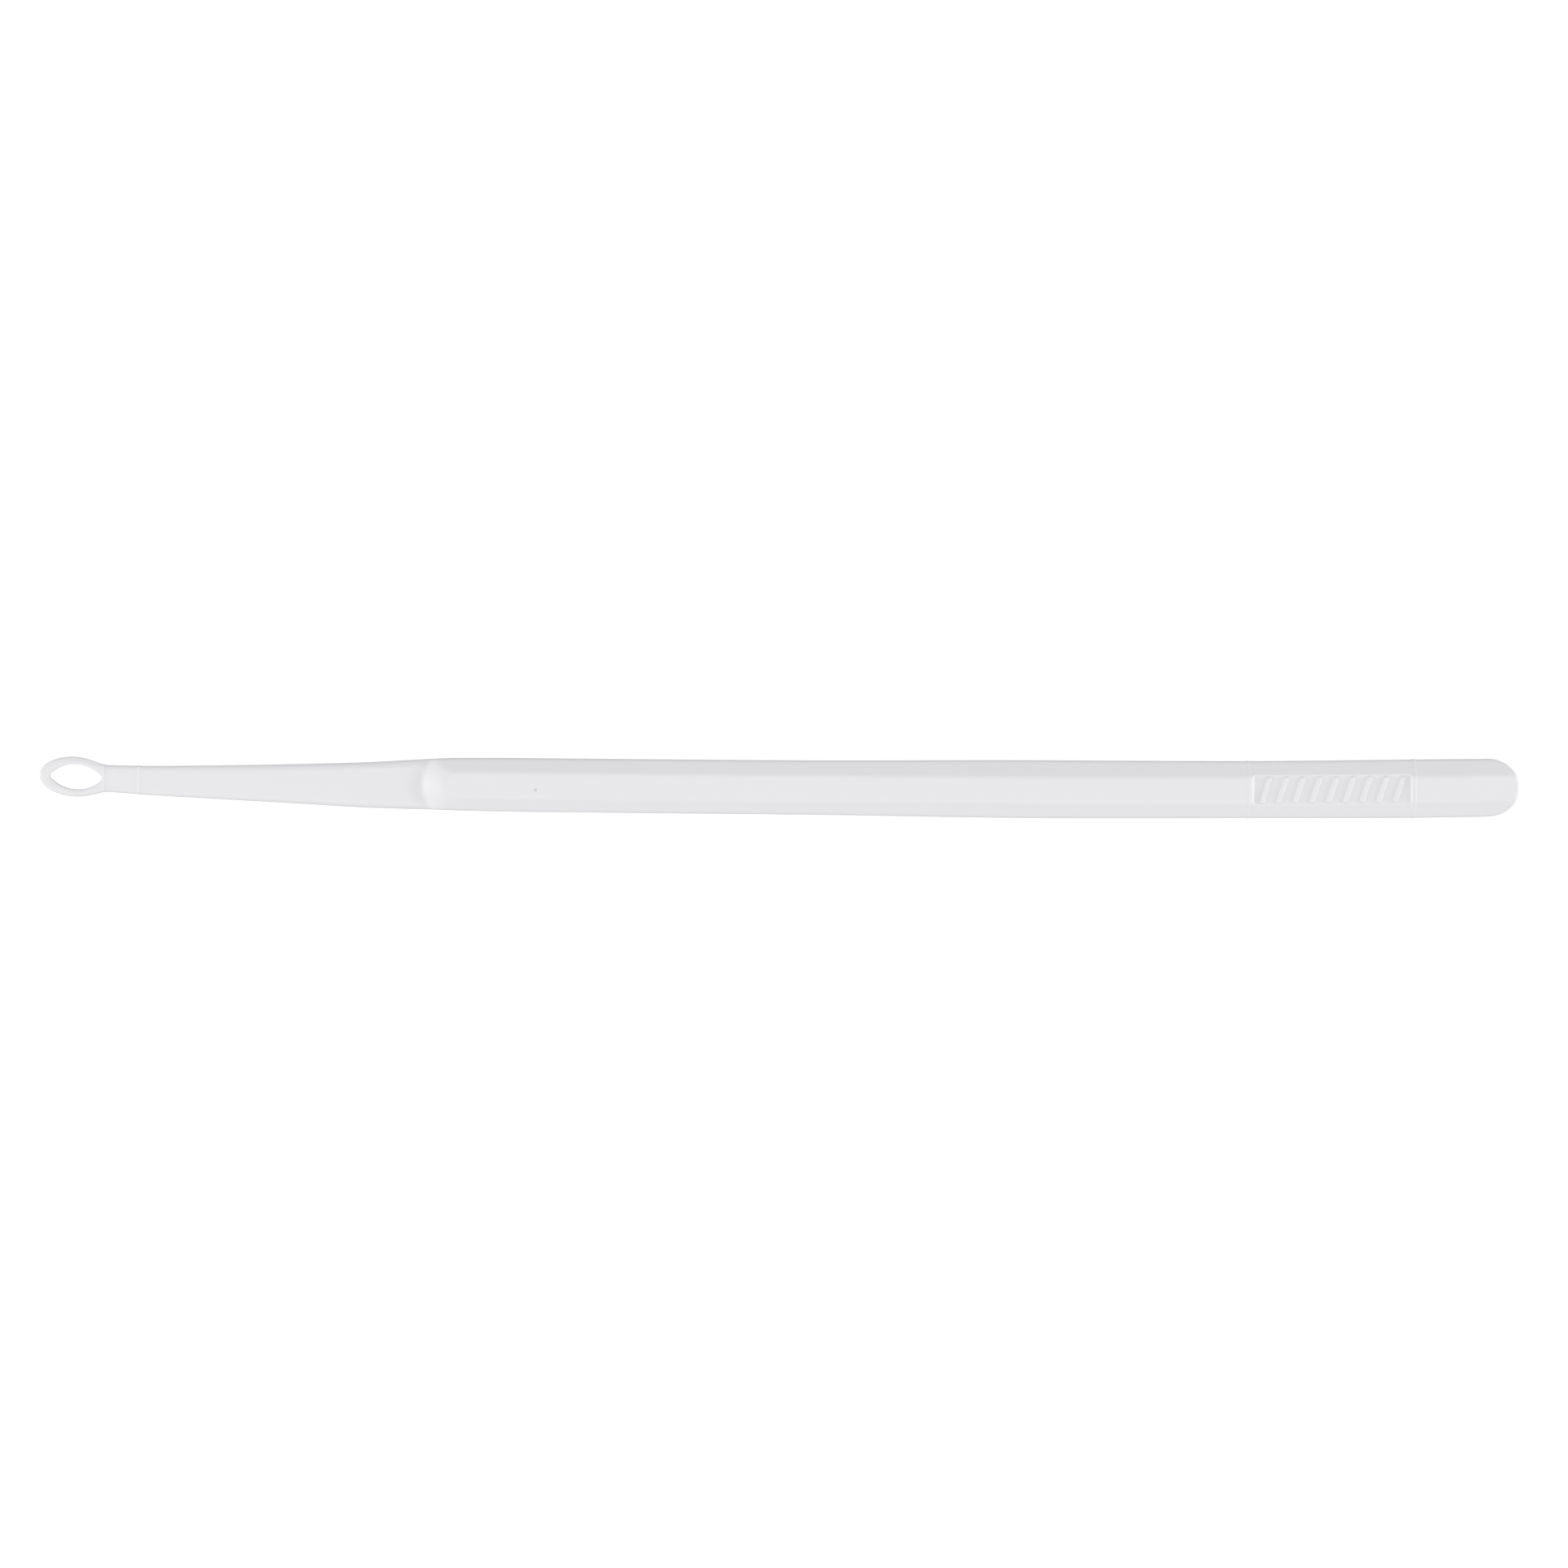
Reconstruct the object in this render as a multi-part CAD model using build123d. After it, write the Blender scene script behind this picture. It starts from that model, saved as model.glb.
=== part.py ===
from build123d import *
import os
from math import cos, radians, tan

# Moulded loop curette: a lens-shaped loop on a flat tapered neck, an eight-sided handle
# and a shallow marking panel near the rounded butt end.
# Millimetres. X runs from the loop (-X) to the butt end (+X), Z is up, and the origin is
# the centre of the handle's underside. Distances along the tool start at the loop's tip.

# Whole tool
LENGTH = 150.0              # loop tip to butt end
HANDLE_THICKNESS = 4.3      # lower flat to upper flat

# Loop
LOOP_WIDTH = 4.02
LOOP_THICKNESS = 0.9
FRONT_RIM = 0.97            # rim in front of the opening
REAR_RIM = 0.66             # rim behind it, inside the ellipse that the outside follows
OPENING_LENGTH = 5.45       # lens-shaped opening, point to point
OPENING_WIDTH = 2.55
OPENING_TIP_RADIUS = 0.28
LOOP_EDGE_RADIUS = 0.28     # soft edges all round the rim, less on a thin rim
LOOP_ROOT_RADIUS = 0.8      # blend where the ellipse meets the stem
LOOP_WEB = 0.3              # opening to the stem

# Stem and neck
STEM_WIDTH = 2.68           # where the loop ends
STEM_THICKNESS = 1.1
STEM_LENGTH = 3.4           # loop to the joint line of the tip insert
TIP_LINE_WIDTH = 2.87       # at that joint line
NECK_LENGTH = 28.8          # tip joint line to the foot of the handle's nose
NECK_MIDDLE_WIDTH = 3.86
NECK_ROOT_WIDTH = 5.05      # at the foot of the nose
NECK_ROOT_THICKNESS = 2.2

# Handle
NOSE_FOOT_RADIUS = 3.5      # plan radius of the nose's foot
NOSE_CREST_RADIUS = 1.4     # plan radius where the nose reaches the flat
NOSE_DOME_RADIUS = 2.9      # roundness of the rise between them
SHOULDER_WIDTH = 5.3        # at the nose's centre
FRONT_GRIP_WIDTH = 5.42
WAIST_WIDTH = 5.48
REAR_GRIP_WIDTH = 5.86
FRONT_TAPER = 6.0           # nose centre to the front grip
SWELL_LENGTH = 27.0         # waist to the full rear width
SWELL_TO_PANEL = 20.0
FLAT_WIDTH = 2.5            # upper and lower flats
BEVEL_ANGLE = 39.8          # lean of the four bevels from the flats, degrees
CORNER_RADIUS = 0.75        # along the eight long corners, less where a side flat is too low

# Gate mark, a small pit in the upper flat
GATE_FROM_NOSE = 11.6       # behind the foot of the nose
GATE_ASIDE = 0.4            # off the middle line, towards -Y
GATE_DIAMETER = 0.4
GATE_DEPTH = 0.12

# Marking panel
PANEL_LENGTH = 16.8         # between the two joint lines of its insert
PANEL_FRONT_WIDTH = 5.77
PANEL_REAR_WIDTH = 5.9
POCKET_END_GAP = 0.22       # joint line to the pocket's rim
POCKET_WIDTH = 3.6          # wider than the flat, so that its floor runs out through the bevels
POCKET_DEPTH = 0.25
POCKET_WALL_LEAN = 38.0     # the walls' lean from upright, degrees
RIB_COUNT = 9
RIB_WIDTH = 0.55
RIB_HEIGHT = 0.17           # above the pocket's floor
RIB_LENGTH = 2.7            # across the handle
RIB_LEAN = 18.0             # from straight across, degrees
RIB_MARGIN = 1.43           # pocket's rim to the middle of the first rib

# Butt end
END_LENGTH = 10.5           # panel's rear joint line to the end
END_WIDTH = 5.86            # also the diameter of its full round
END_RIM_RADIUS = 0.45       # depth and height of its soft rim
RIM_FLATNESS = 1.25         # the rim's arc is this much flatter than a quarter round

# Places along the tool that follow from the sizes above
MIDDLE = HANDLE_THICKNESS / 2
LOOP_END = FRONT_RIM + OPENING_LENGTH + LOOP_WEB
TIP_LINE = LOOP_END + STEM_LENGTH
NOSE_FOOT = TIP_LINE + NECK_LENGTH
NOSE_CENTRE = NOSE_FOOT + NOSE_FOOT_RADIUS
PANEL_END = LENGTH - END_LENGTH
PANEL_START = PANEL_END - PANEL_LENGTH
END_CENTRE = LENGTH - END_WIDTH / 2
REACH = 2 * LENGTH          # well past the whole tool, for the blocks that divide it


def along(distance):
    """X coordinate of a place this far behind the loop's tip."""
    return distance - LENGTH / 2


def block(start, end):
    """A tall wide block between two places along the tool."""
    return Pos(along((start + end) / 2), 0, 0) * Box(end - start, REACH, REACH)


def loop():
    """The ring, with a lens-shaped opening and soft edges, on the handle's mid-plane."""
    half_length = (FRONT_RIM + OPENING_LENGTH + REAR_RIM) / 2
    ellipse = Pos(along(half_length), 0) * Ellipse(half_length, LOOP_WIDTH / 2)
    root = LOOP_END - half_length
    tongue = Pos(along(LOOP_END - root / 2), 0) * Rectangle(root, STEM_WIDTH)
    beyond = Pos(along(LOOP_END + LENGTH / 2), 0) * Rectangle(LENGTH, LENGTH)
    outside = (ellipse + tongue) - beyond
    roots = [v for v in outside.vertices()
             if v.X > along(half_length) + 0.1 and v.X < along(LOOP_END) - 0.01]
    outside = fillet(roots, LOOP_ROOT_RADIUS)

    front = along(FRONT_RIM)
    back = along(FRONT_RIM + OPENING_LENGTH)
    side = OPENING_WIDTH / 2
    centre = (front + back) / 2
    upper = ThreePointArc((front, 0), (centre, side), (back, 0))
    lower = ThreePointArc((back, 0), (centre, -side), (front, 0))
    opening = make_face(Curve() + [upper, lower])
    opening = fillet(opening.vertices(), OPENING_TIP_RADIUS)

    ring = extrude(outside - opening, LOOP_THICKNESS / 2, both=True)
    rims = [edge for face in ring.faces().filter_by(Axis.Z) for edge in face.edges()
            if edge.center().X < along(LOOP_END) - 0.01]
    side_rim = (LOOP_WIDTH - OPENING_WIDTH) / 2
    thinnest = min(side_rim, FRONT_RIM, LOOP_THICKNESS)
    edge_radius = min(LOOP_EDGE_RADIUS, 0.4 * thinnest)
    return Pos(0, 0, MIDDLE) * fillet(rims, edge_radius)


def neck_strip():
    """The flexible strip from the loop into the nose: flat, with full-round sides."""
    middle = (TIP_LINE + NOSE_FOOT) / 2
    taper = (NECK_ROOT_THICKNESS - STEM_THICKNESS) / (NOSE_FOOT - LOOP_END)
    widths = [
        (LOOP_END, STEM_WIDTH),
        (TIP_LINE, TIP_LINE_WIDTH),
        (middle, NECK_MIDDLE_WIDTH),
        (NOSE_FOOT, NECK_ROOT_WIDTH),
        (NOSE_CENTRE, SHOULDER_WIDTH),
    ]
    sections = []
    for place, width in widths:
        thickness = STEM_THICKNESS + taper * (place - LOOP_END)
        plane = Plane((along(place), 0, MIDDLE), x_dir=(0, 1, 0), z_dir=(1, 0, 0))
        sections.append(plane * SlotOverall(width, thickness))
    return loft(sections)


def stem():
    """The front of the strip, as far as the joint line of the tip insert."""
    return neck_strip() & block(LOOP_END - 1, TIP_LINE)


def neck():
    """The rest of the strip, up to the round foot of the nose."""
    nose = Pos(along(NOSE_CENTRE), 0) * Cylinder(NOSE_FOOT_RADIUS, REACH)
    strip = neck_strip() & block(TIP_LINE, NOSE_CENTRE)
    return strip - nose


def handle_outline():
    """Plan of the handle: gently swelling sides and a full-round end, with a lead for the nose."""
    lead_width = 2 * NECK_ROOT_WIDTH - SHOULDER_WIDTH
    waist = PANEL_START - SWELL_TO_PANEL - SWELL_LENGTH
    widths = [
        (NOSE_FOOT - NOSE_FOOT_RADIUS, lead_width),
        (NOSE_FOOT, NECK_ROOT_WIDTH),
        (NOSE_CENTRE, SHOULDER_WIDTH),
        (NOSE_CENTRE + FRONT_TAPER, FRONT_GRIP_WIDTH),
        (waist, WAIST_WIDTH),
        (waist + SWELL_LENGTH, REAR_GRIP_WIDTH),
        (PANEL_START, PANEL_FRONT_WIDTH),
        (PANEL_END, PANEL_REAR_WIDTH),
        (END_CENTRE, END_WIDTH),
    ]
    points = [(along(place), width / 2) for place, width in widths]
    rise = (NECK_ROOT_WIDTH - lead_width) / 2
    side = Spline(points, tangents=[(NOSE_FOOT_RADIUS, rise), (1, 0)])
    other_side = mirror(side, about=Plane.XZ)
    front_x, front_y = points[0]
    rear_x, rear_y = points[-1]
    front = Line((front_x, front_y), (front_x, -front_y))
    rear = ThreePointArc((rear_x, rear_y), (along(LENGTH), 0), (rear_x, -rear_y))
    return make_face(Curve() + [side, rear, other_side, front])


def bevel_cutter():
    """The wedge above one upper bevel, over the whole length."""
    slope = tan(radians(BEVEL_ANGLE))
    start = FLAT_WIDTH / 2
    run = 2 * END_WIDTH
    wedge = Polyline(
        (start, HANDLE_THICKNESS),
        (start + run, HANDLE_THICKNESS - slope * run),
        (start + run, 2 * HANDLE_THICKNESS),
        (start, 2 * HANDLE_THICKNESS),
        close=True,
    )
    return extrude(Plane.YZ * make_face(wedge), LENGTH, both=True)


def nose_cutter():
    """What lies ahead of the nose: its round wall, and its domes above and below the neck."""
    outer = 3 * NOSE_FOOT_RADIUS
    wall = NECK_ROOT_THICKNESS / 2
    crest = (NOSE_CREST_RADIUS, MIDDLE)
    foot = (NOSE_FOOT_RADIUS, wall)
    lower_foot = (NOSE_FOOT_RADIUS, -wall)
    lower_crest = (NOSE_CREST_RADIUS, -MIDDLE)
    outline = [
        RadiusArc(crest, foot, NOSE_DOME_RADIUS),
        Line(foot, lower_foot),
        RadiusArc(lower_foot, lower_crest, NOSE_DOME_RADIUS),
        Polyline(
            lower_crest,
            (NOSE_CREST_RADIUS, -HANDLE_THICKNESS),
            (outer, -HANDLE_THICKNESS),
            (outer, HANDLE_THICKNESS),
            (NOSE_CREST_RADIUS, HANDLE_THICKNESS),
            crest,
        ),
    ]
    turned = revolve(Plane.XZ * make_face(Curve() + outline), Axis.Z)
    ahead = block(0, NOSE_CENTRE)
    return (Pos(along(NOSE_CENTRE), 0, MIDDLE) * turned) & ahead


def rim_cutter():
    """What lies outside the soft upper rim of the butt end."""
    radius = END_WIDTH / 2
    inner = radius - END_RIM_RADIUS
    edge = MIDDLE - END_RIM_RADIUS
    start = (inner, MIDDLE)
    end = (radius, edge)
    rounding = RadiusArc(start, end, RIM_FLATNESS * END_RIM_RADIUS)
    rest = Polyline(end, (END_WIDTH, edge), (END_WIDTH, END_WIDTH), (inner, END_WIDTH), start)
    turned = revolve(Plane.XZ * make_face(Curve() + [rounding, rest]), Axis.Z)
    behind = block(END_CENTRE, 2 * LENGTH)
    return (Pos(along(END_CENTRE), 0, MIDDLE) * turned) & behind


def corner_radius():
    """The long corners' radius, held down where two corners would use up a side flat."""
    widest = max(SHOULDER_WIDTH, REAR_GRIP_WIDTH, PANEL_REAR_WIDTH, END_WIDTH)
    bevel_drop = tan(radians(BEVEL_ANGLE)) * (widest - FLAT_WIDTH) / 2
    side_room = MIDDLE - bevel_drop
    turn = radians(90 - BEVEL_ANGLE)
    return min(CORNER_RADIUS, 0.9 * side_room / tan(turn / 2))


def soften_corners(bar):
    """Round the four corners beside the flats, then the four beside the sides."""
    radius = corner_radius()
    flats = bar.faces().filter_by(Axis.Z)
    inner = [edge for flat in flats for edge in flat.edges() if edge.length > LENGTH / 3]
    bar = fillet(inner, radius)
    lengthways = [edge for edge in bar.edges() if edge.length > LENGTH / 3]
    outer = sorted(lengthways, key=lambda edge: abs(edge.center().Y))[-4:]
    return fillet(outer, radius)


def handle_bar():
    """The whole stiff handle as one bar, before it is divided into its zones."""
    bar = extrude(handle_outline(), HANDLE_THICKNESS)
    mid_plane = Plane.XY.offset(MIDDLE)
    wedge = bevel_cutter()
    for cutter in (wedge, mirror(wedge, about=Plane.XZ)):
        bar -= cutter
        bar -= mirror(cutter, about=mid_plane)
    bar = soften_corners(bar)
    rim = rim_cutter()
    bar -= rim
    bar -= mirror(rim, about=mid_plane)
    return bar - nose_cutter()


def handle(bar):
    """Nose and grip, up to the panel, with the gate's small pit in the upper flat."""
    place = NOSE_FOOT + GATE_FROM_NOSE
    pit = Cylinder(GATE_DIAMETER / 2, 2 * GATE_DEPTH)
    pit = Pos(along(place), -GATE_ASIDE, HANDLE_THICKNESS) * pit
    return (bar & block(0, PANEL_START)) - pit


def marking_panel(bar):
    """The stretch between the two joint lines, with its shallow pocket."""
    length = PANEL_LENGTH - 2 * POCKET_END_GAP
    rim = Pos(along((PANEL_START + PANEL_END) / 2), 0, HANDLE_THICKNESS)
    pocket = extrude(rim * Rectangle(length, POCKET_WIDTH), -POCKET_DEPTH, taper=POCKET_WALL_LEAN)
    return (bar & block(PANEL_START, PANEL_END)) - pocket


def panel_ribs():
    """Plain slanting ribs that stand on the pocket's floor."""
    first = PANEL_START + POCKET_END_GAP + RIB_MARGIN
    last = PANEL_END - POCKET_END_GAP - RIB_MARGIN
    pitch = (last - first) / (RIB_COUNT - 1)
    floor = HANDLE_THICKNESS - POCKET_DEPTH
    length = (RIB_LENGTH - RIB_WIDTH) / cos(radians(RIB_LEAN)) + RIB_WIDTH
    ribs = []
    for number in range(RIB_COUNT):
        centre = Pos(along(first + number * pitch), 0, floor)
        slot = SlotOverall(length, RIB_WIDTH, rotation=90 - RIB_LEAN)
        ribs.append(extrude(centre * slot, RIB_HEIGHT))
    return Compound(ribs)


def butt_end(bar):
    """The plain rounded end behind the panel."""
    return bar & block(PANEL_END, LENGTH + 1)


def main():
    os.makedirs("parts", exist_ok=True)
    bar = handle_bar()
    parts = {
        "loop": loop(),
        "stem": stem(),
        "neck": neck(),
        "handle": handle(bar),
        "marking_panel": marking_panel(bar),
        "panel_ribs": panel_ribs(),
        "butt_end": butt_end(bar),
    }
    for name, shape in parts.items():
        export_step(shape, f"parts/{name}.step")


main()
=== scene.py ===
"""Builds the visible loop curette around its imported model: one moulding in seven named zones.

The loop points along -X and the butt end along +X, Z is up and every size is in metres. The
sections are worked out about the tool's middle plane and lifted to their height at the end.
"""

from bisect import bisect_right
from math import acos, atan2, cos, hypot, pi, radians, sin, sqrt, tan

import bmesh
import bpy
from bpy.props import FloatProperty, FloatVectorProperty, IntProperty, PointerProperty
from mathutils import Euler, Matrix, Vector


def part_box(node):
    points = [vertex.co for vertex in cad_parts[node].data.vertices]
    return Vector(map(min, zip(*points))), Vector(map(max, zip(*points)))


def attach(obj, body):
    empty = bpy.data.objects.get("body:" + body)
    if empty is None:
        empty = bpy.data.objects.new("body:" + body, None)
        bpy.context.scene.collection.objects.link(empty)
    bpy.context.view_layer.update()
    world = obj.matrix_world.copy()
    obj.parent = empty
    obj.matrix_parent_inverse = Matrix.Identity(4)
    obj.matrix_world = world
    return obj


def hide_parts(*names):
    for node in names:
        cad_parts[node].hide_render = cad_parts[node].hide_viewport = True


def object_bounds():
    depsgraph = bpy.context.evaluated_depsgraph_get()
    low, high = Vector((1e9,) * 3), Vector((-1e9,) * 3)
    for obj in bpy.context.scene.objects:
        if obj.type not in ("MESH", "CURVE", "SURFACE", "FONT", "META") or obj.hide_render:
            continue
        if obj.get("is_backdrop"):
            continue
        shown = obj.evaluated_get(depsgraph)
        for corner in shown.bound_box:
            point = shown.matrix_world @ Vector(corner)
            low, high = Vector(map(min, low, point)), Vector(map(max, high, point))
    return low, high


bl_info = {
    "name": "Loop Curette",
    "version": (1, 0, 0),
    "blender": (4, 5, 0),
    "location": "3D View > Sidebar > Curette",
    "description": "Builds a one-piece moulded loop curette around its packed model",
    "category": "Add Mesh",
}

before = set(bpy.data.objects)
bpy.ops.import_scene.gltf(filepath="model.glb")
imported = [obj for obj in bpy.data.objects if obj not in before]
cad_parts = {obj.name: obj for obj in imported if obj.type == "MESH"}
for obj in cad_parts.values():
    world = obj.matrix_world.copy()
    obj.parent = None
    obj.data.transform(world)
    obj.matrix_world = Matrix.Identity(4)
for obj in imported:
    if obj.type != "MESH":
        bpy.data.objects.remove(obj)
CAD_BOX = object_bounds()

MM = 0.001
WELD = 0.0005 * MM          # points closer together than this become one
SHARP = radians(55)         # edges that turn more than this keep a crisp line
BODY = "root"

# Where the zones of the moulding begin and end, and how large it is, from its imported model
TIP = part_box("loop")[0].x
LOOP_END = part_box("loop")[1].x
TIP_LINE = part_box("stem")[1].x
NOSE_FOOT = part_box("handle")[0].x
PANEL_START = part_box("marking_panel")[0].x
PANEL_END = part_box("butt_end")[0].x
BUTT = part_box("butt_end")[1].x
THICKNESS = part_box("handle")[1].z
MIDDLE = THICKNESS / 2
LOOP_WIDTH = 2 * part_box("loop")[1].y
LOOP_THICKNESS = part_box("loop")[1].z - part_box("loop")[0].z
ROOT_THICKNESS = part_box("neck")[1].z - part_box("neck")[0].z
RIBS_LOW, RIBS_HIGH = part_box("panel_ribs")
JOINT_LINES = (TIP_LINE, PANEL_START, PANEL_END)

# How many steps each stretch of a quarter section takes: flat, corner arc, bevel, side
UPPER_STEPS = (28, 8, 10, 3)
LOWER_STEPS = (4, 5, 4, 3)

# How far apart the sections lie along each zone, and where a zone needs them closer
STEM_STEP = 0.2 * MM
NECK_STEP = 0.5 * MM
HANDLE_STEP = 0.8 * MM
PANEL_STEP = 0.25 * MM
END_STEP = 0.4 * MM
HOLLOW_STEP = 0.08 * MM
NOSE_STEP = 0.06 * MM
WALL_STEP = 0.03 * MM

# How many sections go round the ring, and how many profiles round the butt end
RING_TURNS = 240
END_TURNS = 64

# Small lengths and shares that keep the shapes sound
SEAM_FOOT = 0.05 * MM       # height above the middle plane where a side turns to its seam
LEAST_REACH = 0.05 * MM     # shortest reach of an arc, so that a sharp corner has one too
FULLEST_EDGE = 0.85         # most of the strip's half thickness that its edge's rounding takes
CREST_BLEND = 0.2 * MM      # softness of the corner where the nose meets the flat and bevels
FULLEST_FLAT = 0.72         # most of the round end's reach that its flat takes
LEAST_ASIDE = 0.01          # keeps the end's flat finite straight ahead


# Settings -------------------------------------------------------------

def size(name, description, millimetres):
    """A length that the user can change."""
    return FloatProperty(name=name, description=description, default=millimetres * MM,
                         min=0.0, unit="LENGTH", precision=5)


def angle(name, description, value):
    """An angle that the user can change, given in degrees."""
    return FloatProperty(name=name, description=description, default=radians(value),
                         subtype="ANGLE")


def share(name, description, value):
    """A share from nothing to the whole."""
    return FloatProperty(name=name, description=description, default=value,
                         min=0.0, max=1.0, subtype="FACTOR")


def amount(name, description, value):
    """A plain number."""
    return FloatProperty(name=name, description=description, default=value, min=0.0)


def tone(name, description, colour):
    """A colour."""
    return FloatVectorProperty(name=name, description=description, default=colour,
                               size=3, min=0.0, max=1.0, subtype="COLOR")


class CuretteLoop(bpy.types.PropertyGroup):
    """Sizes of the ring at the tip."""

    front_rim: size("Front Rim", "Rim in front of the opening", 0.93)
    rear_rim: size("Rear Rim", "Rim behind the opening, inside the ellipse", 0.62)
    opening_length: size("Opening Length", "Lens-shaped opening, point to point", 5.55)
    opening_width: size("Opening Width", "Lens-shaped opening at its middle", 2.55)
    front_point: size("Front Point", "Rounding of the opening's front point", 0.3)
    rear_point: size("Rear Point", "Rounding of the opening's rear point", 0.5)
    outer_radius: size("Outer Radius", "Rounding of the ring's outer edges", 0.38)
    inner_radius: size("Inner Radius", "Rounding of the opening's edges", 0.22)
    ramp: size("Ramp", "Length of the rise from the ring up to the stem", 0.5)
    root_blend: size("Root Blend", "How softly the ellipse runs into the stem", 0.5)
    crown: size("Crown", "Rise of the rim's middle over its edges", 0.04)


class CuretteStrip(bpy.types.PropertyGroup):
    """Sizes of the flat strip: the stem and the neck."""

    loop_end_width: size("Width at Loop", "Strip's width where the loop ends", 2.68)
    line_width: size("Width at Line", "Strip's width at the tip's joint line", 2.87)
    middle_width: size("Middle Width", "Strip's width half way along", 3.86)
    root_width: size("Root Width", "Strip's width at the foot of the nose", 5.05)
    thickness: size("Thickness", "Strip's thickness where the loop ends", 1.1)
    edge_radius: size("Edge Radius", "Rounding of the long edges where the loop ends", 0.47)
    root_radius: size("Root Radius", "Rounding of the long edges at the foot of the nose", 0.9)
    set: size("Set", "How far the thin strip has set off its line", 0.22)


class CuretteHandle(bpy.types.PropertyGroup):
    """Sizes of the stiff eight-sided handle and its nose."""

    foot_radius: size("Foot Radius", "Plan radius of the nose's foot", 3.5)
    crest_radius: size("Crest Radius", "Plan radius where the nose meets the flat", 1.2)
    dome_radius: size("Dome Radius", "Roundness of the rise of the nose", 12.0)
    foot_fillet: size("Foot Fillet", "Softness of the corner at the nose's foot", 0.25)
    hollow_width: size("Hollow Width", "Length of the gentle dip down to the nose", 1.4)
    hollow_depth: size("Hollow Depth", "Depth of the dip where it meets the nose", 0.12)
    side_blend: size("Side Blend", "Length over which the round sides square up", 0.4)
    shoulder_width: size("Shoulder Width", "Width at the nose's centre", 5.3)
    front_width: size("Front Width", "Width behind the nose", 5.42)
    front_taper: size("Front Taper", "Nose's centre to the front width", 6.0)
    waist_width: size("Waist Width", "Width ahead of the swell", 5.48)
    rear_width: size("Rear Width", "Width at the top of the swell", 5.86)
    swell_length: size("Swell Length", "Waist to the rear width", 27.0)
    swell_to_panel: size("Swell to Panel", "Rear width to the marking panel", 20.0)
    flat_width: size("Flat Width", "Upper and lower flats", 2.5)
    bevel_angle: angle("Bevel Angle", "Lean of the bevels from the flats", 39.8)
    corner_radius: size("Corner Radius", "Rounding along the eight corners", 0.75)
    gate_from_foot: size("Gate Place", "Gate's pit behind the nose's foot", 11.6)
    gate_aside: size("Gate Aside", "How far the gate's pit lies off the middle line", 0.4)
    gate_width: size("Gate Width", "Across the gate's pit", 0.42)
    gate_depth: size("Gate Depth", "Depth of the gate's pit", 0.145)
    gate_lip: size("Gate Lip", "Height of the torn lip round the pit", 0.02)
    seam_height: size("Seam Height", "Parting seam along the sides", 0.015)
    line_height: size("Line Height", "Height of the three joint lines", 0.05)
    line_width: size("Line Width", "Width of the three joint lines", 0.3)
    camber: size("Camber", "How far the cooled moulding bows sideways", 0.62)


class CurettePanel(bpy.types.PropertyGroup):
    """Sizes of the marking panel's pocket and its ribs."""

    front_width: size("Front Width", "Width at the panel's front line", 5.77)
    rear_width: size("Rear Width", "Width at the panel's rear line", 5.9)
    end_gap: size("End Gap", "Joint line to the pocket's rim", 0.22)
    pocket_depth: size("Pocket Depth", "Depth of the pocket", 0.25)
    wall_run: size("Wall Run", "How far the pocket's two end walls slope", 0.33)
    pocket_edge: size("Pocket Edge", "Rounding where the floor runs out in the bevels", 0.06)
    rib_count: IntProperty(name="Ribs", description="Plain slanting ribs in the pocket",
                           default=9, min=1, max=20)
    rib_width: size("Rib Width", "Width of each rib", 0.55)
    rib_length: size("Rib Length", "How far each rib reaches across", 2.7)
    rib_lean: angle("Rib Lean", "Slant of the ribs from straight across", 18.0)
    rib_edge: size("Rib Edge", "Rounding of each rib's upper edge", 0.14)


class CuretteEnd(bpy.types.PropertyGroup):
    """Sizes of the rounded butt end."""

    width: size("Width", "Width where the end begins to round", 5.86)
    rim_radius: size("Rim Radius", "Soft rim round the very end", 0.3)
    squareness: amount("Squareness", "2 is a half circle, more is squarer", 2.12)


class CuretteFinish(bpy.types.PropertyGroup):
    """Colour and surface of the moulded plastic."""

    plastic: tone("Plastic", "Colour of the white plastic", (0.797, 0.7925, 0.8005))
    clouding: tone("Clouding", "Colour of its faint flow marks", (0.762, 0.7585, 0.772))
    dust: tone("Dust", "Colour of the finest specks", (0.62, 0.61, 0.6))
    satin: share("Satin", "Roughness of neck and handle", 0.46)
    polished: share("Polished", "Roughness of the tip insert's surface", 0.34)
    eroded: share("Eroded", "Roughness of the pocket's floor", 0.58)


class CuretteStage(bpy.types.PropertyGroup):
    """Camera, floor and lights."""

    view_width: size("View Width", "Width of what the camera sees", 159.29)
    view_x: size("View X", "Middle of the view along the tool", 0.62)
    view_y: size("View Y", "Middle of the view across the tool", 0.155)
    lens: amount("Lens", "Focal length in millimetres", 100.0)
    roll: angle("Roll", "How far the tool drops to the right", 0.472)
    tilt: angle("Tilt", "How far the camera leans back over the tool", 2.0)
    sky: amount("Sky", "Brightness of the surroundings", 0.796)
    floor_glow: amount("Floor Glow", "How brightly the floor shows from above", 0.85)
    left_light: amount("Left Light", "Softbox beyond the loop, in watts", 1.58)
    right_light: amount("Right Light", "Softbox beyond the butt end, in watts", 2.1)
    front_light: amount("Front Light", "Softbox along the lower side, in watts", 0.36)
    top_light: amount("Top Light", "Softbox overhead, in watts", 0.63)


class CuretteSettings(bpy.types.PropertyGroup):
    """Everything about the curette that the user can change."""

    loop: PointerProperty(type=CuretteLoop)
    strip: PointerProperty(type=CuretteStrip)
    handle: PointerProperty(type=CuretteHandle)
    panel: PointerProperty(type=CurettePanel)
    end: PointerProperty(type=CuretteEnd)
    finish: PointerProperty(type=CuretteFinish)
    stage: PointerProperty(type=CuretteStage)


# Curves and soft edges ------------------------------------------------

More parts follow.
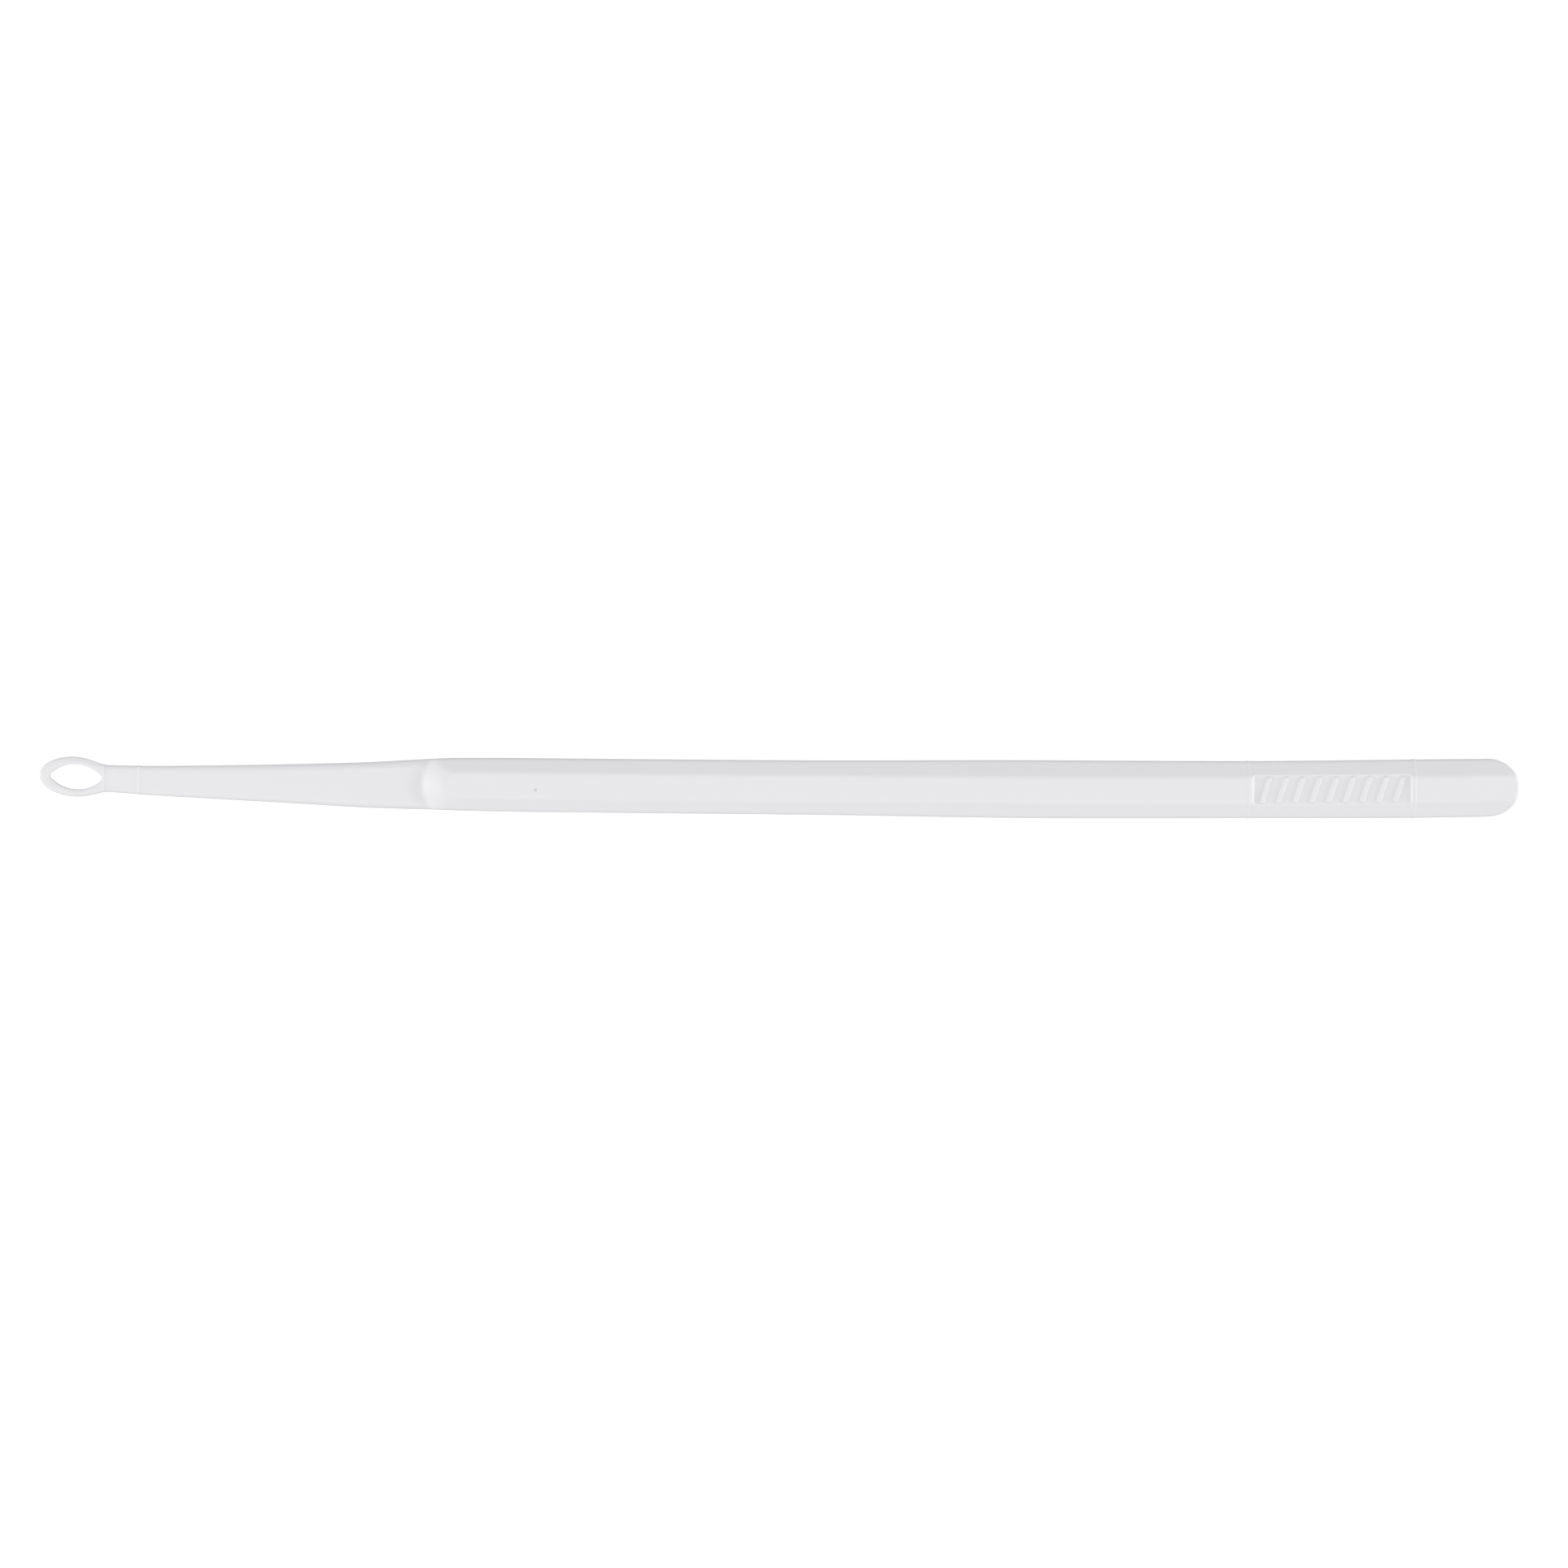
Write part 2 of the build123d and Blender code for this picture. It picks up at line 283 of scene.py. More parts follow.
def smooth(value):
    """0 below 0, 1 above 1 and a soft step between."""
    value = min(max(value, 0.0), 1.0)
    return value * value * (3 - 2 * value)


def soft_min(a, b, width):
    """The smaller of two heights, rounded where they are within this width."""
    near = max(width - abs(a - b), 0.0) / width
    return min(a, b) - near * near * width / 4


def soft_max(a, b, width):
    """The larger of two heights, rounded where they are within this width."""
    return -soft_min(-a, -b, width)


def mix(a, b, weight):
    """A point this share of the way from a to b."""
    return tuple(p + (q - p) * weight for p, q in zip(a, b))


def spread(start, end, count):
    """Evenly spaced values, both ends included."""
    return [start + (end - start) * i / count for i in range(count + 1)]


def through(knots, place):
    """Value at a place of a smooth curve through the knots that never overshoots them."""
    places = [knot[0] for knot in knots]
    i = min(max(bisect_right(places, place) - 1, 0), len(knots) - 2)

    def slope(k):
        return (knots[k + 1][1] - knots[k][1]) / (knots[k + 1][0] - knots[k][0])

    def tangent(k):
        if k == 0:
            return slope(0)
        if k == len(knots) - 1:
            return slope(k - 1)
        before, after = slope(k - 1), slope(k)
        return 0.0 if before * after <= 0 else 2 * before * after / (before + after)

    (x0, y0), (x1, y1) = knots[i], knots[i + 1]
    span = x1 - x0
    t = min(max((place - x0) / span, 0.0), 1.0)
    rise = t * t * (3 - 2 * t)
    lead = t * (1 - t) ** 2 * tangent(i)
    trail = t * t * (t - 1) * tangent(i + 1)
    return y0 + (y1 - y0) * rise + (lead + trail) * span


def stations(start, end, step, fine=()):
    """Places from start to end, closer together inside each (from, to, step) of fine."""
    places = spread(start, end, max(1, round((end - start) / step)))
    for low, high, close in fine:
        low, high = max(low, start), min(high, end)
        if high > low:
            places = [p for p in places if p < low - close / 2 or p > high + close / 2]
            places += spread(low, high, max(1, round((high - low) / close)))
    return sorted(places)


def line_stations(line):
    """A fine stretch of stations on both sides of a joint line."""
    width = settings().handle.line_width
    return (line - width, line + width, width / 8)


def rounded_path(corners, radii, runs, arc_steps):
    """Points along straight runs joined by arcs; the same steps give as many points."""
    points = [corners[0]]
    for k, radius in enumerate(radii):
        before, corner, after = (Vector(p) for p in corners[k:k + 3])
        into, out = (corner - before).normalized(), (after - corner).normalized()
        half_turn = acos(min(1.0, max(-1.0, into.dot(out)))) / 2
        reach = max(radius * tan(half_turn), LEAST_REACH)
        first, last = corner - into * reach, corner + out * reach
        start = Vector(points[-1])
        points += [tuple(start.lerp(first, i / runs[k])) for i in range(1, runs[k] + 1)]
        for i in range(1, arc_steps + 1):       # a true arc, as a weighted curve to the corner
            t = i / arc_steps
            a, b, c = (1 - t) ** 2, 2 * cos(half_turn) * t * (1 - t), t * t
            points.append(tuple((first * a + corner * b + last * c) / (a + b + c)))
    start, end = Vector(points[-1]), Vector(corners[-1])
    points += [tuple(start.lerp(end, i / runs[-1])) for i in range(1, runs[-1] + 1)]
    return points


# Sections -------------------------------------------------------------

def settings():
    """The curette's settings in the current scene."""
    return bpy.context.scene.curette


def nose_centre():
    """Place of the centre of the nose's round plan."""
    return NOSE_FOOT + settings().handle.foot_radius


def end_centre():
    """Place where the butt end begins to round."""
    return BUTT - settings().end.width / 2


def half_width(place):
    """Half the tool's width at a place behind the loop."""
    strip, handle = settings().strip, settings().handle
    rear = PANEL_START - handle.swell_to_panel
    knots = [
        (LOOP_END, strip.loop_end_width),
        (TIP_LINE, strip.line_width),
        ((TIP_LINE + NOSE_FOOT) / 2, strip.middle_width),
        (NOSE_FOOT, strip.root_width),
        (nose_centre(), handle.shoulder_width),
        (nose_centre() + handle.front_taper, handle.front_width),
        (rear - handle.swell_length, handle.waist_width),
        (rear, handle.rear_width),
        (PANEL_START, settings().panel.front_width),
        (PANEL_END, settings().panel.rear_width),
        (end_centre(), settings().end.width),
    ]
    return through(knots, place) / 2


def line_lift(place):
    """How far a joint line stands proud of the surface here."""
    handle = settings().handle
    away = min(abs(place - line) for line in JOINT_LINES)
    return handle.line_height * smooth(1 - away / (handle.line_width / 2))


def strip_height(place):
    """Half the strip's thickness at a place."""
    thickness = settings().strip.thickness
    along = (place - LOOP_END) / (NOSE_FOOT - LOOP_END)
    return (thickness + (ROOT_THICKNESS - thickness) * along) / 2


def hollow(place, across):
    """Depth of the gentle dip that runs down to the foot of the nose, all round it."""
    handle = settings().handle
    away = hypot(place - nose_centre(), across) - handle.foot_radius
    return handle.hollow_depth * smooth(1 - away / handle.hollow_width)


def strip_quarter(place, steps):
    """Quarter section of the strip: half its flat, a round edge, half its side, the seam."""
    flat, arc, bevel, side = steps
    strip = settings().strip
    along = (place - LOOP_END) / (NOSE_FOOT - LOOP_END)
    height = strip_height(place) + line_lift(place)
    width = half_width(place) + line_lift(place)
    radius = strip.edge_radius + (strip.root_radius - strip.edge_radius) * along
    radius = min(radius, FULLEST_EDGE * height)
    corners = [(0.0, height), (width, height), (width, SEAM_FOOT)]
    points = rounded_path(corners, [radius], [flat, side], 2 * arc + bevel)
    points = [(y, z - hollow(place, y) * z / height) for y, z in points]
    return points + [(width + settings().handle.seam_height, 0.0)]


def bevel_edge(width):
    """Half height at which a bevel reaches the side of a section this wide."""
    handle = settings().handle
    return MIDDLE - tan(handle.bevel_angle) * (width - handle.flat_width / 2)


def handle_quarter(place, steps, drop=0.0, edge=None):
    """Quarter section of the handle: half its flat, a bevel, half its side and the seam.

    The flat can be cut down by a drop, and its edge can have a rounding of its own.
    """
    flat, arc, bevel, side = steps
    handle = settings().handle
    width, lift = half_width(place), line_lift(place)
    flat_end = handle.flat_width / 2 + drop / tan(handle.bevel_angle)
    corners = [
        (0.0, MIDDLE + lift - drop),
        (flat_end, MIDDLE + lift - drop),
        (width + lift, bevel_edge(width)),
        (width + lift, SEAM_FOOT),
    ]
    radius = handle.corner_radius
    points = rounded_path(corners, [edge or radius, radius], [flat, bevel, side], arc)
    return points + [(width + lift + handle.seam_height, 0.0)]


def dome_height(radius):
    """Half height of the nose at this plan radius from its centre."""
    handle = settings().handle
    crest = Vector((handle.crest_radius, MIDDLE))
    foot = Vector((handle.foot_radius - handle.foot_fillet, ROOT_THICKNESS / 2))
    chord = foot - crest
    outward = Vector((-chord.y, chord.x)).normalized()
    drop = sqrt(handle.dome_radius ** 2 - (chord.length / 2) ** 2)
    centre = (crest + foot) / 2 - outward * drop
    beyond = max(radius - centre.x, 0.0)
    return centre.y + sqrt(max(handle.dome_radius ** 2 - beyond ** 2, 0.0))


def nose_quarter(place, steps):
    """Quarter section where the strip runs into the domed nose of the handle."""
    handle = settings().handle
    full = handle_quarter(place, steps)
    if place >= nose_centre():
        return full
    points = []
    for thin, thick in zip(strip_quarter(place, steps), full):
        radius = hypot(place - nose_centre(), thick[0])
        low = strip_height(place) - hollow(place, thick[0])
        cap = soft_max(dome_height(radius), low, handle.foot_fillet)
        domed = (thick[0], soft_min(thick[1], cap, CREST_BLEND))
        inside = handle.foot_radius + handle.side_blend - radius
        points.append(mix(thin, domed, smooth(inside / (2 * handle.side_blend))))
    return points


def around(place, upper, lower):
    """The whole section at a place from its two quarters, one above the other."""
    right = upper + [(y, -z) for y, z in reversed(lower[:-1])]
    left = [(-y, z) for y, z in reversed(right[1:-1])]
    return [(place, y, z) for y, z in right + left]


def section(place, quarter):
    """The whole section at a place from one function for its quarters."""
    return around(place, quarter(place, UPPER_STEPS), quarter(place, LOWER_STEPS))


# Meshes ---------------------------------------------------------------

CAMBER_REST = 0.3           # share of the camber by which the tool's middle lies the other way
SET_RISE = 0.3              # share of the way from tip to nose over which the strip's set grows
SET_FALL = 0.25             # and over which it dies away again


def skin(mesh, rows, wrap=True):
    """Join neighbouring rows of points with faces, and return the rows of vertices."""
    made = [[mesh.verts.new(point) for point in row] for row in rows]
    count = len(rows[0])
    for low, high in zip(made, made[1:]):
        for i in range(count if wrap else count - 1):
            j = (i + 1) % count
            mesh.faces.new((low[i], low[j], high[j], high[i]))
    return made


def close_ends(mesh, made):
    """Cap the first and the last row with a flat face each."""
    mesh.faces.new(made[0])
    mesh.faces.new(made[-1][::-1])


def bow(place):
    """Sideways shift of the moulding at a place: its camber, and the set of its thin strip."""
    reach = abs(2 * place / (BUTT - TIP))
    camber = settings().handle.camber * (reach ** 3 - CAMBER_REST)
    along = (place - TIP) / (nose_centre() - TIP)
    strip_set = settings().strip.set * smooth(along / SET_RISE) * smooth((1 - along) / SET_FALL)
    return camber - strip_set


def add_piece(name, mesh, materials, *nodes):
    """Weld, check and place a mesh as the piece that stands for these nodes."""
    bmesh.ops.remove_doubles(mesh, verts=mesh.verts, dist=WELD)
    bmesh.ops.recalc_face_normals(mesh, faces=mesh.faces)
    open_edges = sum(not edge.is_manifold for edge in mesh.edges)
    if open_edges:
        raise RuntimeError(f"{name} has {open_edges} open edges")
    for face in mesh.faces:
        face.smooth = True
    for edge in mesh.edges:
        edge.smooth = edge.calc_face_angle() < SHARP
    for vert in mesh.verts:
        vert.co.y += bow(vert.co.x)
        vert.co.z += MIDDLE
    data = bpy.data.meshes.new(name)
    mesh.to_mesh(data)
    mesh.free()
    piece = bpy.data.objects.new(name, data)
    bpy.context.scene.collection.objects.link(piece)
    for material in materials:
        data.materials.append(material)
    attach(piece, BODY)
    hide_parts(*nodes)
    return piece


# Loop -----------------------------------------------------------------

TONGUE_OVERRUN = 1.5 * MM   # how far the ring's tongue runs on past the cut at the loop's end
FARTHEST_RIM = 6 * MM       # farther than any rim reaches from the opening's edge
RIM_HALVINGS = 40           # times that the search for the rim halves its stretch
RIM_PROBE = 0.002 * MM      # step for measuring which way the rim faces
ROUND_STEPS = 8             # steps of each rounded edge of the ring


def opening_centre():
    """Place of the opening's middle."""
    loop = settings().loop
    return TIP + loop.front_rim + loop.opening_length / 2


def lens_point(turn, offset):
    """Point of the opening's outline where it faces this way, moved outwards by the offset.

    Each long side is an arc about a centre beyond the other side, and each point a small arc.
    """
    loop = settings().loop
    half_length, half_side = loop.opening_length / 2, loop.opening_width / 2
    side_radius = (half_length ** 2 + half_side ** 2) / (2 * half_side)
    side_centre = side_radius - half_side
    point_radius = loop.rear_point if cos(turn) > 0 else loop.front_point
    point_centre = sqrt((side_radius - point_radius) ** 2 - side_centre ** 2)
    facing = Vector((cos(turn), sin(turn)))
    if abs(sin(turn)) > sin(atan2(side_centre, point_centre)):
        side = 1 if sin(turn) > 0 else -1
        return Vector((0.0, -side_centre * side)) + facing * (side_radius + offset)
    ahead = 1 if cos(turn) > 0 else -1
    return Vector((point_centre * ahead, 0.0)) + facing * (point_radius + offset)


def rim_distance(point):
    """Rough distance of a plan point outside the ring's outline with its tongue."""
    loop = settings().loop
    ring_length = loop.front_rim + loop.opening_length + loop.rear_rim
    shift = (loop.front_rim - loop.rear_rim) / 2
    along, across = (point.x + shift) / (ring_length / 2), point.y / (LOOP_WIDTH / 2)
    ellipse = (hypot(along, across) - 1) * LOOP_WIDTH / 2
    tongue_end = LOOP_END - opening_centre() + TONGUE_OVERRUN
    tongue = abs(point.y) - settings().strip.loop_end_width / 2
    tongue = max(tongue, point.x - tongue_end, -point.x)
    return soft_min(ellipse, tongue, loop.root_blend)


def rim_point(turn):
    """Outer point of the ring straight out from the opening, and the way that it faces."""
    start, facing = lens_point(turn, 0.0), Vector((cos(turn), sin(turn)))
    near, far = 0.0, FARTHEST_RIM
    for _ in range(RIM_HALVINGS):
        middle = (near + far) / 2
        if rim_distance(start + facing * middle) < 0:
            near = middle
        else:
            far = middle
    point = start + facing * near
    along, across = Vector((RIM_PROBE, 0)), Vector((0, RIM_PROBE))
    slope = Vector((rim_distance(point + along) - rim_distance(point - along),
                    rim_distance(point + across) - rim_distance(point - across)))
    return point, slope.normalized()


def ramp_rise(place):
    """How much thicker than the ring the loop is here, on its ramp up to the stem."""
    ratio = settings().strip.thickness / LOOP_THICKNESS
    ramp = settings().loop.ramp
    return 1 + (ratio - 1) * max((place - LOOP_END + ramp) / ramp, 0.0)


def rim_section(turn):
    """The ring's whole section at one turn, from its outer side over the top and back."""
    loop = settings().loop
    outer, facing = rim_point(turn)
    top = LOOP_THICKNESS / 2
    arc = [(1 - cos(bend), 1 - sin(bend)) for bend in spread(0.0, pi / 2, ROUND_STEPS)]
    wide, narrow = loop.outer_radius, loop.inner_radius
    outside = [(outer - facing * wide * inward, top - wide * down) for inward, down in arc]
    inside = [(lens_point(turn, narrow * outward), top - narrow * down)
              for outward, down in reversed(arc)]
    crown = [(outside[-1][0].lerp(inside[0][0], over), top + loop.crown * sin(pi * over))
             for over in (0.25, 0.5, 0.75)]
    seam = settings().handle.seam_height
    half = [(outer + facing * seam, 0.0)] + outside + crown + inside
    half += [(lens_point(turn, 0.0), 0.0)]
    lower = [(point, -z) for point, z in reversed(half[1:-1])]
    centre = opening_centre()
    return [(centre + point.x, point.y, z * ramp_rise(centre + point.x))
            for point, z in half + lower]


class CURETTE_OT_loop(bpy.types.Operator):
    """Build the loop: a rounded ring with a lens-shaped opening"""

    bl_idname = "curette.loop"
    bl_label = "Loop"

    def execute(self, context):
        mesh = bmesh.new()
        skin(mesh, [rim_section(turn) for turn in spread(0.0, 2 * pi, RING_TURNS)])
        bmesh.ops.remove_doubles(mesh, verts=mesh.verts, dist=WELD)
        everything = mesh.verts[:] + mesh.edges[:] + mesh.faces[:]
        bmesh.ops.bisect_plane(mesh, geom=everything, dist=WELD, plane_co=(LOOP_END, 0, 0),
                               plane_no=(1, 0, 0), clear_outer=True)
        cut = [edge for edge in mesh.edges if edge.is_boundary]
        bmesh.ops.edgeloop_fill(mesh, edges=cut)
        add_piece("loop_ring", mesh, [polished_white()], "loop")
        return {"FINISHED"}


class CURETTE_OT_strip(bpy.types.Operator):
    """Build the stem and the neck: one flat tapering strip in two zones"""

    bl_idname = "curette.strip"
    bl_label = "Stem and Neck"

    def execute(self, context):
        handle = context.scene.curette.handle
        neck_end = NOSE_FOOT - handle.side_blend
        fine = [line_stations(TIP_LINE),
                (NOSE_FOOT - handle.hollow_width, neck_end, HOLLOW_STEP)]
        zones = [
            ("stem_strip", stations(LOOP_END, TIP_LINE, STEM_STEP, fine), polished_white, "stem"),
            ("neck_strip", stations(TIP_LINE, neck_end, NECK_STEP, fine), satin_white, "neck"),
        ]
        for name, places, material, node in zones:
            mesh = bmesh.new()
            close_ends(mesh, skin(mesh, [section(p, strip_quarter) for p in places]))
            add_piece(name, mesh, [material()], node)
        return {"FINISHED"}


# Handle ---------------------------------------------------------------

PIT_WALL = 0.6              # as shares of the pit's radius: the run of its wall,
LIP_CREST = 1.25            # where the lip is highest
LIP_REACH = 0.4             # and how far it spreads to each side


def gate_shift(place, across):
    """How far the gate's pit sinks, and its lip lifts, the upper flat."""
    handle = settings().handle
    radius = handle.gate_width / 2
    away = hypot(place - NOSE_FOOT - handle.gate_from_foot, across + handle.gate_aside)
    pit = handle.gate_depth * smooth((radius - away) / (PIT_WALL * radius))
    lip = handle.gate_lip * smooth(1 - abs(away - LIP_CREST * radius) / (LIP_REACH * radius))
    return lip - pit


def with_gate(row):
    """A section with its points on the upper flat moved by the gate's mark."""
    return [(x, y, z + gate_shift(x, y)) if z > 0 else (x, y, z) for x, y, z in row]


class CURETTE_OT_handle(bpy.types.Operator):
    """Build the handle: a domed nose, eight soft-cornered sides and the gate's mark"""

    bl_idname = "curette.handle"
    bl_label = "Handle"

    def execute(self, context):
        handle = context.scene.curette.handle
        start = NOSE_FOOT - handle.side_blend
        gate = NOSE_FOOT + handle.gate_from_foot
        fine = [
            (start, nose_centre(), NOSE_STEP),
            (gate - handle.gate_width, gate + handle.gate_width, handle.gate_width / 16),
            line_stations(PANEL_START),
        ]
        places = stations(start, PANEL_START, HANDLE_STEP, fine)
        mesh = bmesh.new()
        close_ends(mesh, skin(mesh, [with_gate(section(p, nose_quarter)) for p in places]))
        add_piece("handle_grip", mesh, [satin_white()], "handle")
        return {"FINISHED"}


# Marking panel --------------------------------------------------------

WALL_MARGIN = 0.05 * MM     # how far the fine sections run on past the pocket's end walls
FLOOR_SHARE = 0.9           # what lies deeper than this share of the pocket is its floor
RIB_FLARE = 0.05 * MM       # spread of a rib's foot on the floor
RIB_SINK = 0.02 * MM        # how far a rib reaches into the floor
RIB_TUCK = 0.1 * MM         # by how much its round ends shorten a slanting rib's reach
RIB_END_STEPS = 10          # steps of a rib's round ends in plan
RIB_EDGE_STEPS = 5          # steps of its rounded upper edge


def pocket_drop(place):
    """How far the pocket's floor lies below the upper flat at a place."""
    panel = settings().panel
    inside = min(place - PANEL_START, PANEL_END - place) - panel.end_gap
    return panel.pocket_depth * smooth(inside / panel.wall_run)


def panel_section(place):
    """The handle's section, cut down to the pocket's floor on its upper side."""
    panel = settings().panel
    drop = pocket_drop(place)
    edge = settings().handle.corner_radius
    edge += (panel.pocket_edge - edge) * drop / panel.pocket_depth
    upper = handle_quarter(place, UPPER_STEPS, drop, edge)
    return around(place, upper, handle_quarter(place, LOWER_STEPS))


def rib_outline(centre, inset):
    """Slanting rounded bar in plan, drawn in by the inset."""
    panel = settings().panel
    radius = panel.rib_width / 2
    straight = (panel.rib_length - panel.rib_width) / cos(panel.rib_lean) / 2
    points = []
    for end in (1, -1):
        start = 0 if end > 0 else pi
        for turn in spread(start, start + pi, RIB_END_STEPS):
            x, y = (radius - inset) * cos(turn), end * straight + (radius - inset) * sin(turn)
            points.append((x, y))
    lean = -panel.rib_lean
    return [(centre + x * cos(lean) - y * sin(lean), x * sin(lean) + y * cos(lean))
            for x, y in points]


def add_rib(mesh, centre):
    """One rib that stands on the pocket's floor with a soft upper edge."""
    panel = settings().panel
    floor, top = RIBS_LOW.z - MIDDLE, RIBS_HIGH.z - MIDDLE
    edge = panel.rib_edge
    levels = [
        (-RIB_FLARE, floor - RIB_SINK),
        (-RIB_FLARE, floor),
        (-RIB_FLARE / 4, floor + RIB_FLARE),
    ]
    for turn in spread(0.0, pi / 2, RIB_EDGE_STEPS):
        levels.append((edge * (1 - cos(turn)), top - edge * (1 - sin(turn))))
    rows = [[(x, y, z) for x, y in rib_outline(centre, inset)] for inset, z in levels]
    close_ends(mesh, skin(mesh, rows))


class CURETTE_OT_panel(bpy.types.Operator):
    """Build the marking panel: a shallow pocket between two joint lines"""

    bl_idname = "curette.panel"
    bl_label = "Marking Panel"

    def execute(self, context):
        panel, handle = context.scene.curette.panel, context.scene.curette.handle
        rim = panel.end_gap - WALL_MARGIN
        foot = panel.end_gap + panel.wall_run + 2 * WALL_MARGIN
        fine = [
            (PANEL_START + rim, PANEL_START + foot, WALL_STEP),
            (PANEL_END - foot, PANEL_END - rim, WALL_STEP),
            line_stations(PANEL_START),
            line_stations(PANEL_END),
        ]
        places = stations(PANEL_START, PANEL_END, PANEL_STEP, fine)
        mesh = bmesh.new()
        close_ends(mesh, skin(mesh, [panel_section(p) for p in places]))
        floor_edge = handle.flat_width / 2 + panel.pocket_depth / tan(handle.bevel_angle)
        # the floor faces take the eroded plastic, whose stronger clouding paints shade on the
        # recessed floor
        for face in mesh.faces:
            middle = face.calc_center_median()
            deep = pocket_drop(middle.x) > FLOOR_SHARE * panel.pocket_depth
            if deep and middle.z > 0 and abs(middle.y) < floor_edge:
                face.material_index = 1
        add_piece("panel_shell", mesh, [satin_white(), eroded_white_painted_shade()], "marking_panel")
        return {"FINISHED"}


class CURETTE_OT_ribs(bpy.types.Operator):
    """Build the plain slanting ribs on the pocket's floor"""

    bl_idname = "curette.ribs"
    bl_label = "Ribs"

    def execute(self, context):
        panel = context.scene.curette.panel
        mesh = bmesh.new()
        margin = panel.rib_width / 2 + RIBS_HIGH.y * tan(panel.rib_lean) - RIB_TUCK
        for centre in spread(RIBS_LOW.x + margin, RIBS_HIGH.x - margin, panel.rib_count - 1):
            add_rib(mesh, centre)
        add_piece("panel_rib_set", mesh, [rib_white()], "panel_ribs")
        return {"FINISHED"}


# Butt end -------------------------------------------------------------

def end_profile(turn, steps):
    """Quarter profile of the round end, straight out from its centre at this turn."""
    flat, arc, bevel, side = steps
    handle, end = settings().handle, settings().end
    power = end.squareness
    reach = (abs(cos(turn)) ** power + abs(sin(turn)) ** power) ** (-1 / power)
    reach *= end.width / 2
    aside = abs(sin(turn))
    half_flat, corner = handle.flat_width / 2, handle.corner_radius
    flat_end = min(half_flat / max(aside, LEAST_ASIDE), FULLEST_FLAT * reach)
    drop = max(reach * aside - half_flat, 0.0) * tan(handle.bevel_angle)
    corners = [(0.0, MIDDLE), (flat_end, MIDDLE), (reach, MIDDLE - drop), (reach, SEAM_FOOT)]
    rim = end.rim_radius + (corner - end.rim_radius) * aside ** 2
    points = rounded_path(corners, [corner, rim], [flat, bevel, side], arc)
    return points + [(reach + handle.seam_height, 0.0)]


class CURETTE_OT_butt(bpy.types.Operator):
    """Build the butt end: the handle's section running out into a full round"""

    bl_idname = "curette.butt"
    bl_label = "Butt End"

    def execute(self, context):
        centre = end_centre()
        mesh = bmesh.new()
        places = stations(PANEL_END, centre, END_STEP, [line_stations(PANEL_END)])
        made = skin(mesh, [section(p, handle_quarter) for p in places])
        mesh.faces.new(made[0])
        rows = []
        for turn in spread(pi / 2, -pi / 2, END_TURNS):
            upper = end_profile(turn, UPPER_STEPS)
            lower = [(r, -z) for r, z in reversed(end_profile(turn, LOWER_STEPS)[:-1])]
            rows.append([(centre + r * cos(turn), r * sin(turn), z) for r, z in upper + lower])
        skin(mesh, rows, wrap=False)
        add_piece("butt_cap", mesh, [satin_white()], "butt_end")
        return {"FINISHED"}


# Finishes -------------------------------------------------------------

SPECK_SIZE = 0.025          # a speck's radius, as a share of the specks' spacing
SPECK_STRENGTH = 0.35       # how much of the dust's colour a speck takes
ROUGH_SPREAD = 0.12         # how much the roughness differs from place to place
HAND_POLISH = 0.15          # how much handling takes off the roughness of raised edges
MIX_INPUTS = (0, 6, 7)      # the factor and both colours among a Mix node's sockets
MIX_RESULT = 2              # the mixed colour among its results


def new_group(name, inputs, outputs):
    """An empty shader group with these (name, socket type, default) inputs and outputs."""
    group = bpy.data.node_groups.new(name, "ShaderNodeTree")
    for label, kind, default in inputs:
        socket = group.interface.new_socket(label, in_out="INPUT", socket_type=kind)
        socket.default_value = default
    for label, kind in outputs:
        group.interface.new_socket(label, in_out="OUTPUT", socket_type=kind)
    ends = group.nodes.new("NodeGroupInput"), group.nodes.new("NodeGroupOutput")
    return group, ends[0].outputs, ends[1].inputs


def maths(tree, operation, first, second):
    """A Math node; each side is a socket or a number."""
    node = tree.nodes.new("ShaderNodeMath")
    node.operation = operation
    for socket, value in zip(node.inputs, (first, second)):
        if isinstance(value, bpy.types.NodeSocket):
            tree.links.new(value, socket)
        else:
            socket.default_value = value
    return node.outputs[0]


def mixed(tree, weight, first, second):
    """A Mix node for two colours; the weight and both colours are sockets."""
    node = tree.nodes.new("ShaderNodeMix")
    node.data_type = "RGBA"
    for number, source in zip(MIX_INPUTS, (weight, first, second)):
        tree.links.new(source, node.inputs[number])
    return node.outputs[MIX_RESULT]


def noise(tree, scale, detail):
    """Noise over the object's own space; the scale is a socket or a number."""
    space = tree.nodes.new("ShaderNodeTexCoord")
    node = tree.nodes.new("ShaderNodeTexNoise")
    tree.links.new(space.outputs["Object"], node.inputs["Vector"])
    node.inputs["Detail"].default_value = detail
    if isinstance(scale, bpy.types.NodeSocket):
        tree.links.new(scale, node.inputs["Scale"])
    else:
        node.inputs["Scale"].default_value = scale
    return node.outputs["Fac"]


def grain_group():
    """Fine texture of the mould's steel as it shows in the plastic: a height and a mask."""
    name = "Mould Grain"
    if name in bpy.data.node_groups:
        return bpy.data.node_groups[name]
    inputs = [("Grain Scale", "NodeSocketFloat", 2600.0), ("Waviness", "NodeSocketFloat", 0.4)]
    outputs = [("Height", "NodeSocketFloat"), ("Mask", "NodeSocketFloat")]
    group, given, made = new_group(name, inputs, outputs)
    fine = noise(group, given["Grain Scale"], detail=3.0)
    wave = noise(group, scale=220.0, detail=1.0)
    wavy = maths(group, "MULTIPLY", wave, given["Waviness"])
    group.links.new(maths(group, "ADD", fine, wavy), made["Height"])
    group.links.new(wave, made["Mask"])
    return group


